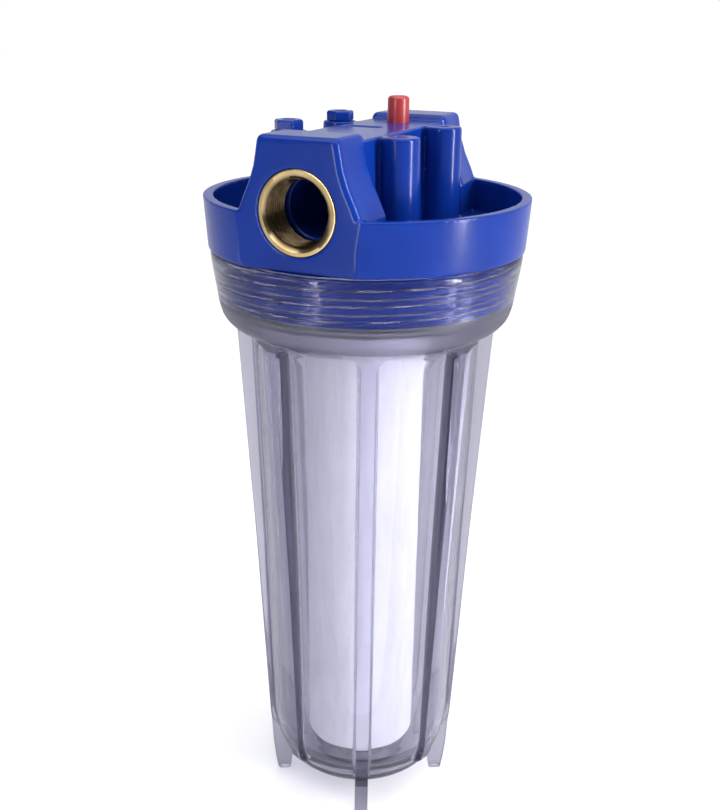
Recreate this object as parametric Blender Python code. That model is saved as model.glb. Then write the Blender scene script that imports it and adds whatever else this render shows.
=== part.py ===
"""Inline cartridge water filter: blue head with threaded brass ports, clear ribbed sump,
sediment cartridge, pressure-release button and two hex gauge plugs.

Frame: origin on the standing plane under the axis, +Z up the axis, ports along Y
(outlet towards -Y, inlet towards +Y). Sizes are written in millimetres and scaled by MM.
"""
import math

import bmesh
import bpy
from mathutils import Matrix, Vector

MM = 0.001

# ---------------------------------------------------------------- driving dimensions
STEPS = 48                  # facets around the large turned parts
PITCH = 6.0                 # sump thread pitch

RIM_R = 67.5                # outside radius of the head's cup at its rim
RIM_Z = 293.8
SKIRT_R = 66.2              # outside radius at the skirt's lower edge
SKIRT_Z = 272.8
FLOOR_Z = 279.5             # floor of the cup
CEILING_Z = 276.5           # underside of that floor, seen from the cartridge
BOSS_TOP_Z = 319.3          # four bosses and the middle bridge
BLOCK_TOP_Z = 321.8         # end blocks that carry the ports
BLOCK_FACE_Y = 62.3         # flat port faces
BLOCK_BACK_Y = 40.0
BOSS_X, BOSS_Y, BOSS_R = 24.0, 23.0, 7.3

PORT_Z = 294.6              # axis of both ports
INSERT_R = 15.9
INSERT_LEN = 16.0
G_MAJOR_R = 13.22           # G 3/4 pipe thread, 14 turns to the inch
G_MINOR_R = 12.06
G_PITCH = 25.4 / 14.0
PASSAGE_R = 11.5

MALE_ROOT_R, MALE_CREST_R = 57.7, 60.0
FEMALE_BASE_R, FEMALE_CREST_R = 60.6, 58.3
MALE_END_Z = 252.0          # lower edge of the head's threaded skirt
SKIRT_BORE_R = 52.6
NIPPLE_R, NIPPLE_Z = 12.2, 266.0

COLLAR_TOP_Z = 271.8
BOWL_FLOOR_Z = 20.4
BOWL_BASE_Z = 15.5
RIB_ANGLE = -64.0           # first rib, degrees about +Z from +X
RIB_W, FOOT_W, FIN_W = 6.4, 6.0, 2.4

MEDIA_R, MEDIA_BORE_R = 26.0, 15.0
CORE_R, CORE_BORE_R = 14.7, 13.2
MEDIA_Z0, MEDIA_Z1 = 30.7, 273.2
GASKET_R, GASKET_BORE_R, GASKET_T = 25.0, 13.4, 2.4

VENT_Y = 30.5
CAP_R, CAP_Z0, CAP_Z1 = 4.7, 316.5, 329.9
STEM_R, STEM_Z0 = 1.9, 301.0

HEX_AF, HEX_Z0, HEX_Z1 = 10.4, 319.6, 323.4
PLUG_SHANK_R, PLUG_SHANK_Z0 = 3.9, 311.0


# ---------------------------------------------------------------- helpers
def clear_scene():
    for ob in list(bpy.data.objects):
        bpy.data.objects.remove(ob, do_unlink=True)


def material(name, rgb, roughness, metallic=0.0, alpha=1.0, transmission=0.0):
    mat = bpy.data.materials.new(name)
    mat.use_nodes = True
    bsdf = mat.node_tree.nodes["Principled BSDF"]
    bsdf.inputs["Base Color"].default_value = (*rgb, 1.0)
    bsdf.inputs["Roughness"].default_value = roughness
    bsdf.inputs["Metallic"].default_value = metallic
    bsdf.inputs["Alpha"].default_value = alpha
    bsdf.inputs["Transmission Weight"].default_value = transmission
    mat.diffuse_color = (*rgb, alpha)
    return mat


def to_object(name, bm, mat, origin=(0.0, 0.0, 0.0), smooth=True):
    """Make an object from a bmesh given in millimetres, with its origin where stated."""
    bmesh.ops.remove_doubles(bm, verts=bm.verts, dist=1e-4)
    bmesh.ops.dissolve_degenerate(bm, edges=bm.edges, dist=1e-5)
    bmesh.ops.recalc_face_normals(bm, faces=bm.faces)
    bmesh.ops.translate(bm, verts=bm.verts, vec=-Vector(origin))
    bmesh.ops.scale(bm, verts=bm.verts, vec=(MM, MM, MM))
    mesh = bpy.data.meshes.new(name)
    bm.to_mesh(mesh)
    bm.free()
    mesh.materials.append(mat)
    if smooth:
        mesh.shade_smooth()
        mesh.set_sharp_from_angle(angle=math.radians(30.0))
    ob = bpy.data.objects.new(name, mesh)
    ob.location = Vector(origin) * MM
    bpy.context.scene.collection.objects.link(ob)
    return ob


def spin_path(bm, path, steps, closed=False):
    """Turn a path of (radius, height) points once round the Z axis."""
    verts = [bm.verts.new((r, 0.0, z)) for r, z in path]
    edges = [bm.edges.new(pair) for pair in zip(verts, verts[1:])]
    if closed:
        edges.append(bm.edges.new((verts[-1], verts[0])))
    bmesh.ops.spin(bm, geom=verts + edges, cent=(0, 0, 0), axis=(0, 0, 1),
                   angle=2.0 * math.pi, steps=steps, use_merge=True)


def thread_band(bm, base_r, crest_r, z_low, z_high, pitch, shape, steps, phase=0.0):
    """Right-hand helical ridges on a cylinder, running out at both end rings.

    shape is one ridge as (fraction of a pitch, fraction of the ridge's height) points.
    """
    turns = int(math.ceil((z_high - z_low) / pitch)) + 2
    rows = []
    for turn in range(-1, turns):
        for along, height in shape:
            rows.append((z_low + pitch * (turn - 1 + along + phase), height))
    columns = []
    for step in range(steps + 1):
        angle = 2.0 * math.pi * step / steps
        column = []
        for z_row, height in rows:
            z = z_row + pitch * step / steps
            r = base_r + (crest_r - base_r) * height
            if z <= z_low:
                z, r = z_low, base_r
            elif z >= z_high:
                z, r = z_high, base_r
            column.append(bm.verts.new((r * math.cos(angle), r * math.sin(angle), z)))
        columns.append(column)
    for left, right in zip(columns, columns[1:]):
        for k in range(len(rows) - 1):
            bm.faces.new((left[k], right[k], right[k + 1], left[k + 1]))


def prism(bm, outline, low, high, matrix):
    """Extrude a flat outline of (x, y) points from low to high, then place it."""
    lower = [bm.verts.new((x, y, low)) for x, y in outline]
    face = bm.faces.new(lower)
    extruded = bmesh.ops.extrude_face_region(bm, geom=[face])["geom"]
    upper = [g for g in extruded if isinstance(g, bmesh.types.BMVert)]
    bmesh.ops.translate(bm, verts=upper, vec=(0.0, 0.0, high - low))
    bmesh.ops.transform(bm, matrix=matrix, verts=lower + upper)


def radial_plate(outline, width, angle_deg):
    """A plate whose (radius, height) outline stands in a plane through the axis."""
    bm = bmesh.new()
    stand = Matrix.Rotation(math.radians(90.0), 4, "X")
    turn = Matrix.Rotation(math.radians(angle_deg), 4, "Z")
    prism(bm, outline, -width / 2.0, width / 2.0, turn @ stand)
    return bm


def cylinder(radius, z_low, z_high, steps, x=0.0, y=0.0, upper_radius=None):
    upper = radius if upper_radius is None else upper_radius
    bm = turned_solid([(0, z_low), (radius, z_low), (upper, z_high), (0, z_high)], steps)
    bmesh.ops.translate(bm, verts=bm.verts, vec=(x, y, 0.0))
    return bm


def turned_solid(path, steps):
    """A closed solid turned from a path that starts and ends on the axis."""
    bm = bmesh.new()
    spin_path(bm, path, steps)
    bmesh.ops.remove_doubles(bm, verts=bm.verts, dist=1e-4)
    return bm


def lay_along_y(bm, sign, z):
    """Lay a solid turned about Z along +Y or -Y at height z."""
    bmesh.ops.rotate(bm, verts=bm.verts, cent=(0, 0, 0),
                     matrix=Matrix.Rotation(math.radians(-90.0 * sign), 3, "X"))
    bmesh.ops.translate(bm, verts=bm.verts, vec=(0.0, 0.0, z))


def box(x0, x1, y0, y1, z0, z1):
    bm = bmesh.new()
    prism(bm, [(x0, y0), (x1, y0), (x1, y1), (x0, y1)], z0, z1, Matrix.Identity(4))
    return bm


def boolean(target, operation, name, bm):
    """Join or cut a construction solid with target; the construction solid is hidden."""
    tool = to_object(name, bm, target.data.materials[0], smooth=False)
    tool.hide_render = True
    tool.hide_viewport = False
    tool.display_type = "WIRE"
    tool.hide_set(True)
    mod = target.modifiers.new(name, "BOOLEAN")
    mod.operation = operation
    mod.solver = "EXACT"
    mod.object = tool


# ---------------------------------------------------------------- materials
clear_scene()
BLUE = material("blue_plastic", (0.02, 0.06, 0.42), 0.28)
CLEAR = material("clear_bowl", (0.80, 0.80, 0.88), 0.08, alpha=0.35, transmission=0.9)
MEDIA = material("filter_media_white", (0.88, 0.88, 0.90), 0.9)
CORE = material("core_plastic", (0.85, 0.86, 0.86), 0.55)
BRASS = material("brass", (0.72, 0.55, 0.27), 0.25, metallic=1.0)
RED = material("red_plastic", (0.62, 0.05, 0.05), 0.35)
RUBBER = material("black_rubber", (0.02, 0.02, 0.022), 0.7)
STEEL = material("spring_steel", (0.6, 0.6, 0.62), 0.3, metallic=1.0)

RIDGE = [(0.0, 0.0), (0.15, 1.0), (0.45, 1.0), (0.60, 0.0)]
V_THREAD = [(0.0, 0.0), (0.5, 1.0)]


# ---------------------------------------------------------------- head
def make_head():
    bm = bmesh.new()
    male_z0, male_z1 = MALE_END_Z + 1.0, SKIRT_Z - 0.9
    spin_path(bm, [(0, NIPPLE_Z), (NIPPLE_R, NIPPLE_Z), (NIPPLE_R, CEILING_Z),
                   (SKIRT_BORE_R, CEILING_Z), (SKIRT_BORE_R, MALE_END_Z),
                   (MALE_ROOT_R, MALE_END_Z), (MALE_ROOT_R, male_z0)], STEPS)
    spin_path(bm, [(MALE_ROOT_R, male_z1), (MALE_ROOT_R, SKIRT_Z), (SKIRT_R, SKIRT_Z),
                   (RIM_R, RIM_Z), (RIM_R - 4.2, RIM_Z), (RIM_R - 4.6, FLOOR_Z),
                   (0, FLOOR_Z)], STEPS)
    thread_band(bm, MALE_ROOT_R, MALE_CREST_R, male_z0, male_z1, PITCH, RIDGE, STEPS)
    head = to_object("head", bm, BLUE)

    side = [(26.2, SKIRT_Z + 0.2), (26.0, 292.8), (23.8, 298.1), (20.6, 304.8),
            (17.9, 313.3), (16.7, 319.9), (14.8, BLOCK_TOP_Z)]
    outline = side + [(-x, z) for x, z in reversed(side)]
    stand = Matrix.Rotation(math.radians(90.0), 4, "X")
    for tag, low, high in (("front", BLOCK_BACK_Y, BLOCK_FACE_Y + 3.0),
                           ("rear", -BLOCK_FACE_Y - 3.0, -BLOCK_BACK_Y)):
        bm = bmesh.new()
        prism(bm, outline, low, high, stand)
        boolean(head, "UNION", "port_block_" + tag, bm)
    bridge = [(17.6, 278.0), (16.4, BOSS_TOP_Z), (-16.4, BOSS_TOP_Z), (-17.6, 278.0)]
    bm = bmesh.new()
    prism(bm, bridge, -BLOCK_BACK_Y - 4.0, BLOCK_BACK_Y + 4.0, stand)
    boolean(head, "UNION", "bridge", bm)
    for sx in (-1, 1):
        for sy in (-1, 1):
            tag = "%s_%s" % ("left" if sx < 0 else "right", "front" if sy < 0 else "rear")
            boolean(head, "UNION", "boss_" + tag,
                    cylinder(BOSS_R + 0.3, 278.1, BOSS_TOP_Z, 28, sx * BOSS_X, sy * BOSS_Y, BOSS_R))

    far = RIM_R + 5.0
    depth = BLOCK_FACE_Y - INSERT_LEN - 0.4
    for sy, end, tag in ((-1, -8.0, "outlet"), (1, 15.0, "inlet")):
        y0, y1 = sorted((sy * BLOCK_FACE_Y, sy * far))
        boolean(head, "DIFFERENCE", "flat_" + tag, box(-40, 40, y0, y1, 240.0, 335.0))
        bore = turned_solid([(0, end), (PASSAGE_R, end), (PASSAGE_R, depth),
                             (INSERT_R + 0.3, depth), (INSERT_R + 0.3, far), (0, far)], 32)
        lay_along_y(bore, sy, PORT_Z)
        boolean(head, "DIFFERENCE", "port_bore_" + tag, bore)
    boolean(head, "DIFFERENCE", "nipple_bore", cylinder(9.0, 260.0, 292.0, 20))
    boolean(head, "DIFFERENCE", "inlet_drop", box(-8.0, 8.0, 29.0, 44.0, 270.0, 292.0))

    vent = turned_solid([(0, 299.0), (4.6, 299.0), (4.6, 307.5), (2.3, 307.5), (2.3, 310.5),
                         (5.4, 310.5), (5.4, 325.0), (0, 325.0)], 20)
    bmesh.ops.translate(vent, verts=vent.verts, vec=(0.0, VENT_Y, 0.0))
    boolean(head, "DIFFERENCE", "vent_way", vent)
    boolean(head, "DIFFERENCE", "top_recess", box(-13.0, 3.0, 2.0, 8.0, 318.3, 325.0))
    for sy, tag in ((-1, "front"), (1, "rear")):
        gauge = turned_solid([(0, 270.0), (2.4, 270.0), (2.4, 309.0), (4.3, 309.0),
                              (4.3, 317.6), (5.8, 317.6), (5.8, 325.0), (0, 325.0)], 20)
        bmesh.ops.translate(gauge, verts=gauge.verts, vec=(-BOSS_X, sy * BOSS_Y, 0.0))
        boolean(head, "DIFFERENCE", "gauge_way_" + tag, gauge)
        boolean(head, "DIFFERENCE", "screw_hole_" + tag,
                cylinder(1.8, 302.0, 325.0, 12, BOSS_X, sy * BOSS_Y))
    return head


# ---------------------------------------------------------------- brass inserts
def make_insert(name, sign):
    """Threaded insert lying along Y, its mouth just inside the port face."""
    bm = bmesh.new()
    bore_z0, bore_z1 = 1.2, INSERT_LEN - 0.8
    spin_path(bm, [(G_MAJOR_R, bore_z0), (G_MAJOR_R, 0.0), (INSERT_R - 0.7, 0.0),
                   (INSERT_R - 0.7, INSERT_LEN - 3.0), (INSERT_R, INSERT_LEN - 3.0),
                   (INSERT_R, INSERT_LEN), (G_MAJOR_R + 0.6, INSERT_LEN),
                   (G_MAJOR_R, bore_z1)], 24)
    thread_band(bm, G_MAJOR_R, G_MINOR_R, bore_z0, bore_z1, G_PITCH, V_THREAD, 24)
    inner_end = BLOCK_FACE_Y - INSERT_LEN - 0.1
    bmesh.ops.translate(bm, verts=bm.verts, vec=(0.0, 0.0, inner_end))
    lay_along_y(bm, sign, PORT_Z)
    return to_object(name, bm, BRASS, origin=(0.0, sign * BLOCK_FACE_Y, PORT_Z))


# ---------------------------------------------------------------- sump bowl
def make_bowl():
    bm = bmesh.new()
    fem_z0, fem_z1 = MALE_END_Z + 1.6, COLLAR_TOP_Z - 0.9
    outer = [(0, BOWL_BASE_Z), (20.0, 15.6), (28.0, 16.4), (34.0, 18.6), (38.4, 22.8),
             (40.9, 29.0), (43.2, 43.0), (45.4, 134.0), (48.8, 233.0), (50.8, 237.6),
             (54.6, 240.0), (58.4, 241.6), (61.2, 244.8), (62.6, 249.4), (65.4, 268.6), (65.4, 271.0),
             (64.8, COLLAR_TOP_Z), (FEMALE_BASE_R, COLLAR_TOP_Z), (FEMALE_BASE_R, fem_z1)]
    inner = [(FEMALE_BASE_R, fem_z0), (FEMALE_BASE_R, 251.4), (57.5, 249.8), (57.5, 248.0),
             (53.3, 248.0), (53.3, 249.8), (52.3, 249.8), (50.4, 243.4), (45.4, 235.0),
             (41.9, 134.0), (39.7, 43.0), (38.5, 32.0), (35.6, 25.2), (31.0, 21.6),
             (25.0, BOWL_FLOOR_Z), (21.8, BOWL_FLOOR_Z), (21.8, 27.6), (19.2, 27.6),
             (19.2, BOWL_FLOOR_Z), (12.2, BOWL_FLOOR_Z), (12.2, 34.6), (11.4, 36.0),
             (10.0, 36.0), (10.0, BOWL_FLOOR_Z), (0, BOWL_FLOOR_Z)]
    spin_path(bm, outer, STEPS)
    spin_path(bm, inner, STEPS)
    thread_band(bm, FEMALE_BASE_R, FEMALE_CREST_R, fem_z0, fem_z1, PITCH, RIDGE, STEPS,
                phase=(MALE_END_Z + 1.0 - fem_z0) / PITCH + 0.5)
    bowl = to_object("sump_bowl", bm, CLEAR)

    rib = [(41.2, 41.0), (43.6, 134.0), (47.2, 234.0), (53.6, 245.0), (56.4, 245.0),
           (55.6, 236.0), (54.8, 222.0), (50.0, 136.0), (47.4, 80.0), (45.6, 43.0)]
    short_end = [(45.1, 34.0), (43.6, 28.0), (40.6, 24.4), (39.4, 27.0), (39.9, 32.0)]
    foot_end = [(44.3, 18.0), (43.2, 8.0), (41.8, 0.0), (35.8, 0.0), (34.6, 8.0),
                (33.4, 18.9), (37.0, 22.8), (39.6, 30.0)]
    fin = [(27.5, 18.6), (31.6, 19.6), (36.4, 23.4), (39.6, 29.2), (40.6, 36.0),
           (42.0, 63.0), (35.5, 57.0), (30.0, 41.0), (27.5, 30.0)]
    for k in range(8):
        angle = RIB_ANGLE + 45.0 * k
        end = foot_end if k % 2 == 0 else short_end
        boolean(bowl, "UNION", "rib_%d" % k, radial_plate(rib + end, RIB_W, angle))
        if k in (2, 6):
            boolean(bowl, "UNION", "fin_%d" % k, radial_plate(fin, FIN_W, angle))
    return bowl


# ---------------------------------------------------------------- cartridge
def make_ring(name, mat, bore, radius, z0, z1, steps):
    bm = bmesh.new()
    spin_path(bm, [(radius, z1), (radius, z0), (bore, z0), (bore, z1)], steps, closed=True)
    return to_object(name, bm, mat)


def make_core():
    """Core tube with rows of slots, made as a grid of cells with some left open."""
    steps, rows = 16, 13
    heights = [MEDIA_Z0 + 6.0 + (MEDIA_Z1 - MEDIA_Z0 - 12.0) * k / rows for k in range(rows + 1)]
    heights = [MEDIA_Z0] + heights + [MEDIA_Z1]
    bm = bmesh.new()
    shells = []
    for r in (CORE_BORE_R, CORE_R):
        grid = []
        for z in heights:
            grid.append([bm.verts.new((r * math.cos(2.0 * math.pi * i / steps),
                                       r * math.sin(2.0 * math.pi * i / steps), z))
                         for i in range(steps)])
        shells.append(grid)

    def is_open(row, col):
        if row < 1 or row > rows:
            return False
        return row % 2 == 0 and (col + row // 2) % 2 == 0

    inside, outside = shells
    for row in range(rows + 2):
        for i in range(steps):
            j = (i + 1) % steps
            if not is_open(row, i):
                bm.faces.new((outside[row][i], outside[row][j],
                              outside[row + 1][j], outside[row + 1][i]))
                bm.faces.new((inside[row][i], inside[row + 1][i],
                              inside[row + 1][j], inside[row][j]))
                continue
            ring = [(row, i), (row, j), (row + 1, j), (row + 1, i)]
            for (ra, ca), (rb, cb) in zip(ring, ring[1:] + ring[:1]):
                bm.faces.new((outside[ra][ca], outside[rb][cb], inside[rb][cb], inside[ra][ca]))
    for i in range(steps):
        j = (i + 1) % steps
        bm.faces.new((outside[0][i], inside[0][i], inside[0][j], outside[0][j]))
        bm.faces.new((outside[-1][i], outside[-1][j], inside[-1][j], inside[-1][i]))
    return to_object("filter_core", bm, CORE)


def make_o_ring(name, ring_r, section, z, steps, sides, x=0.0, y=0.0):
    bm = bmesh.new()
    path = [(ring_r + section / 2.0 * math.cos(2.0 * math.pi * k / sides),
             z - section / 2.0 * math.sin(2.0 * math.pi * k / sides)) for k in range(sides)]
    spin_path(bm, path, steps, closed=True)
    bmesh.ops.remove_doubles(bm, verts=bm.verts, dist=1e-4)
    bmesh.ops.translate(bm, verts=bm.verts, vec=(x, y, 0.0))
    return to_object(name, bm, RUBBER, origin=(x, y, z))


# ---------------------------------------------------------------- vent valve
def make_button():
    bm = bmesh.new()
    spin_path(bm, [(0, STEM_Z0), (1.5, STEM_Z0), (STEM_R, STEM_Z0 + 0.5), (STEM_R, 303.5),
                   (1.3, 303.5), (1.3, 305.1), (STEM_R, 305.1), (STEM_R, CAP_Z0),
                   (CAP_R, CAP_Z0), (CAP_R - 0.15, CAP_Z1 - 0.7), (CAP_R - 0.8, CAP_Z1),
                   (0, CAP_Z1)], 24)
    bmesh.ops.remove_doubles(bm, verts=bm.verts, dist=1e-4)
    bmesh.ops.translate(bm, verts=bm.verts, vec=(0.0, VENT_Y, 0.0))
    return to_object("vent_button", bm, RED, origin=(0.0, VENT_Y, CAP_Z0))


def make_spring():
    """Compression spring round the stem, with its wire's end faces closed."""
    wire, mean_r, turns, per_turn, sides = 0.7, 3.6, 3.5, 14, 6
    z0, z1 = 310.8 + wire / 2.0, CAP_Z0 - 0.3 - wire / 2.0
    bm = bmesh.new()
    rings = []
    count = int(turns * per_turn)
    slope = math.atan2(z1 - z0, 2.0 * math.pi * mean_r * turns)
    for k in range(count + 1):
        angle = 2.0 * math.pi * turns * k / count
        centre = Vector((mean_r * math.cos(angle), mean_r * math.sin(angle),
                         z0 + (z1 - z0) * k / count))
        out = Vector((math.cos(angle), math.sin(angle), 0.0))
        along = Vector((-math.sin(angle) * math.cos(slope), math.cos(angle) * math.cos(slope),
                        math.sin(slope)))
        up = out.cross(along)
        rings.append([bm.verts.new(centre + wire / 2.0 * (math.cos(a) * out + math.sin(a) * up))
                      for a in (2.0 * math.pi * s / sides for s in range(sides))])
    for first, second in zip(rings, rings[1:]):
        for s in range(sides):
            t = (s + 1) % sides
            bm.faces.new((first[s], first[t], second[t], second[s]))
    bm.faces.new(rings[0])
    bm.faces.new(reversed(rings[-1]))
    bmesh.ops.translate(bm, verts=bm.verts, vec=(0.0, VENT_Y, 0.0))
    return to_object("vent_spring", bm, STEEL, origin=(0.0, VENT_Y, z0 - wire / 2.0))


def make_clip():
    """Open retaining ring in the stem's groove."""
    inner, outer, z0, z1, steps = 1.62, 4.0, 303.9, 304.7, 20
    start, sweep = math.radians(120.0), math.radians(300.0)
    arc = [start + sweep * k / steps for k in range(steps + 1)]
    outline = [(outer * math.cos(a), outer * math.sin(a)) for a in arc]
    outline += [(inner * math.cos(a), inner * math.sin(a)) for a in reversed(arc)]
    bm = bmesh.new()
    prism(bm, outline, z0, z1, Matrix.Translation((0.0, VENT_Y, 0.0)))
    return to_object("vent_clip", bm, STEEL, origin=(0.0, VENT_Y, z0))


# ---------------------------------------------------------------- gauge plugs
def make_plug(name, y, turn_deg):
    corner = HEX_AF / math.sqrt(3.0)
    bm = bmesh.new()
    low = [Vector((corner * math.cos(math.radians(60.0 * k + turn_deg)),
                   corner * math.sin(math.radians(60.0 * k + turn_deg)), HEX_Z0))
           for k in range(6)]
    base = [bm.verts.new(v) for v in low]
    shoulder = [bm.verts.new((v.x, v.y, HEX_Z1 - 0.6)) for v in low]
    top = [bm.verts.new((v.x * 0.9, v.y * 0.9, HEX_Z1)) for v in low]
    for lower, upper in ((base, shoulder), (shoulder, top)):
        for k in range(6):
            j = (k + 1) % 6
            bm.faces.new((lower[k], lower[j], upper[j], upper[k]))
    bm.faces.new(top)
    bm.faces.new(reversed(base))
    bmesh.ops.translate(bm, verts=bm.verts, vec=(-BOSS_X, y, 0.0))
    plug = to_object(name, bm, BLUE, origin=(-BOSS_X, y, HEX_Z0))
    boolean(plug, "UNION", name + "_shank",
            cylinder(PLUG_SHANK_R - 0.6, PLUG_SHANK_Z0, HEX_Z0 + 1.0, 16, -BOSS_X, y, PLUG_SHANK_R))
    return plug


make_head()
make_insert("outlet_insert", -1)
make_insert("inlet_insert", 1)
make_bowl()
make_o_ring("sump_o_ring", 55.4, 3.4, 250.0, 36, 6)
make_ring("filter_media", MEDIA, MEDIA_BORE_R, MEDIA_R, MEDIA_Z0, MEDIA_Z1, 40)
make_core()
make_ring("filter_bottom_gasket", RUBBER, GASKET_BORE_R, GASKET_R,
          MEDIA_Z0 - 0.3 - GASKET_T, MEDIA_Z0 - 0.3, 32)
make_ring("filter_top_gasket", RUBBER, GASKET_BORE_R, GASKET_R,
          MEDIA_Z1 + 0.3, MEDIA_Z1 + 0.3 + GASKET_T, 32)
make_button()
make_spring()
make_o_ring("vent_o_ring", 3.1, 1.6, 306.2, 20, 6, 0.0, VENT_Y)
make_clip()
make_plug("gauge_plug_front", -BOSS_Y, 12.0)
make_plug("gauge_plug_rear", BOSS_Y, 38.0)
for tag, sy in (("front", -1), ("rear", 1)):
    make_o_ring("gauge_seal_" + tag, 4.98, 1.2, 318.55, 20, 6, -BOSS_X, sy * BOSS_Y)
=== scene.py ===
"""Looks of the inline water filter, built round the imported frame.

Sizes are written in millimetres and scaled by MM. The frame's axes: +Z up the filter's
axis, outlet port towards -Y, inlet port towards +Y, hex plugs towards -X.
"""

import math

import bmesh
import bpy
import numpy as np
from mathutils import Matrix, Vector, noise


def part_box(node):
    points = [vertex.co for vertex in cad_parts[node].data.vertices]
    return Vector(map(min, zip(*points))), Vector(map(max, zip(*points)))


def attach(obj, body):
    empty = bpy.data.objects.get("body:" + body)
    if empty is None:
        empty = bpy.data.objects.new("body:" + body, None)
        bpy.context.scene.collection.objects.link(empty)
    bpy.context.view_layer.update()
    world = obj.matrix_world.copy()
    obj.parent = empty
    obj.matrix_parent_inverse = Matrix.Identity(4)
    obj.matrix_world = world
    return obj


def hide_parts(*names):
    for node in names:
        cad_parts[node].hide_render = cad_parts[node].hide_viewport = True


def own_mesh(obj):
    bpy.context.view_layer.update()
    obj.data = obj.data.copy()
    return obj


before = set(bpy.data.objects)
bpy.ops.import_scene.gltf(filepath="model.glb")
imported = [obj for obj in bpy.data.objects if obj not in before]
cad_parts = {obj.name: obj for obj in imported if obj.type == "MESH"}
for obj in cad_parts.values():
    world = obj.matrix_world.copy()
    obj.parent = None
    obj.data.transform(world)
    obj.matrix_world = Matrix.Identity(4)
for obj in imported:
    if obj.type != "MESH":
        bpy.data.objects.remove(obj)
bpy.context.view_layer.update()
MM = 0.001
TAU = 2.0 * math.pi


def span(node):
    """Lowest and highest corner of a CAD node, in millimetres."""
    low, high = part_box(node)
    return low / MM, high / MM


HEAD_LOW, HEAD_HIGH = span("head")
BOWL_HIGH = span("sump_bowl")[1]
MEDIA_LOW, MEDIA_HIGH = span("filter_media")
BUTTON_LOW, BUTTON_HIGH = span("vent_button")
INSERT_LOW, INSERT_HIGH = span("outlet_insert")

# ---------------------------------------------------------------- sizes shared by pieces
RIM_R, RIM_Z = HEAD_HIGH.x, 293.8
RIM_WALL = 4.2
SKIRT_R, SKIRT_Z = RIM_R - 1.3, 272.8
SKIRT_BORE_R = 52.6
NIPPLE_R, NIPPLE_BORE_R, NIPPLE_Z = 12.2, 9.0, 266.0
CUP_FLOOR_Z, CEILING_Z = 279.5, 276.5
BLOCK_FACE_Y, BLOCK_BACK_Y = 62.3, 40.0
BLOCK_TOP_Z = HEAD_HIGH.z
BOSS_TOP_Z = BLOCK_TOP_Z - 2.5
BOSS_X, BOSS_Y, BOSS_R = 24.0, 23.0, 7.3
PORT_Z = (INSERT_LOW.z + INSERT_HIGH.z) / 2.0
INSERT_R, INSERT_LENGTH = 15.9, 16.0
PASSAGE_R = 11.5

PITCH = 6.0                      # of the big thread between head and bowl
MALE_END_Z = HEAD_LOW.z
MALE_ROOT_R, MALE_CREST_R = 57.7, 60.0
MALE_TOP_Z = SKIRT_Z - 0.9
FEMALE_BASE_R, FEMALE_CREST_R = 60.6, 58.3
FEMALE_END_Z, FEMALE_TOP_Z = 251.4, BOWL_HIGH.z - 0.9
THREAD_Z0 = MALE_END_Z + 1.0
THREAD_RUN_OUT = 0.8

COLLAR_TOP_Z = BOWL_HIGH.z
RIB_COUNT = 8
RIB_STEP = TAU / RIB_COUNT
RIB_ANGLE = math.radians(-64.0)  # first rib, about +Z from +X
RIB_HALF = 3.2
RIB_FOOT_Z, RIB_TOP_Z = 24.0, 245.0
FOOT_W, FIN_W = 6.0, 2.4

MEDIA_R, MEDIA_BORE_R = MEDIA_HIGH.x, 15.0
CORE_BORE_R, CORE_R = 13.2, 14.7
GASKET_BORE_R = 13.4

VENT_Y = (BUTTON_LOW.y + BUTTON_HIGH.y) / 2.0
HEX_FLAT, HEX_Z0 = 10.4 / 2.0, 319.6
GAUGE_SHANK_R = 3.9


# ================================================================ mesh helpers
def mesh_object(name, verts, faces, sharp_deg=None):
    """A smooth-shaded object from millimetre points, with edges past sharp_deg kept crisp."""
    mesh = bpy.data.meshes.new(name)
    mesh.from_pydata((np.asarray(verts, float) * MM).tolist(), [], faces)
    mesh.validate()
    bm = bmesh.new()
    bm.from_mesh(mesh)
    bmesh.ops.remove_doubles(bm, verts=bm.verts, dist=2e-6)
    bmesh.ops.dissolve_degenerate(bm, edges=bm.edges, dist=1e-7)
    bmesh.ops.recalc_face_normals(bm, faces=bm.faces)
    if bm.calc_volume(signed=True) < 0.0:
        bmesh.ops.reverse_faces(bm, faces=bm.faces)
    bm.to_mesh(mesh)
    bm.free()
    mesh.shade_smooth()
    if sharp_deg is not None:
        mesh.set_sharp_from_angle(angle=math.radians(sharp_deg))
    ob = bpy.data.objects.new(name, mesh)
    bpy.context.scene.collection.objects.link(ob)
    return ob


def grid_object(name, columns, sharp_deg=None, close_path=False):
    """Columns of points round the axis, joined into a skin that closes on itself."""
    columns = np.asarray(columns, float)
    count, rows = columns.shape[0], columns.shape[1]
    last = rows if close_path else rows - 1
    faces = []
    for i in range(count):
        a, b = i * rows, ((i + 1) % count) * rows
        for k in range(last):
            m = (k + 1) % rows
            faces.append((a + k, b + k, b + m, a + m))
    return mesh_object(name, columns.reshape(-1, 3), faces, sharp_deg)


def rounded(path, radius, steps):
    """The path with each inner corner replaced by a short curve."""
    out = [path[0]]
    for before, corner, after in zip(path, path[1:], path[2:]):
        p, q, r = Vector(before), Vector(corner), Vector(after)
        cut = min(radius, 0.45 * (p - q).length, 0.45 * (r - q).length)
        if cut < 0.02:
            out.append(tuple(q))
            continue
        start = q + (p - q).normalized() * cut
        end = q + (r - q).normalized() * cut
        for k in range(steps + 1):
            t = k / steps
            out.append(tuple(start * (1 - t) ** 2 + q * (2 * t * (1 - t)) + end * t ** 2))
    out.append(path[-1])
    return out


def rounded_loop(outline, radius):
    """A closed outline with its corners rounded."""
    closed = [outline[-1]] + outline + [outline[0]]
    return rounded(closed, radius, 4)[1:-1]


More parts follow.
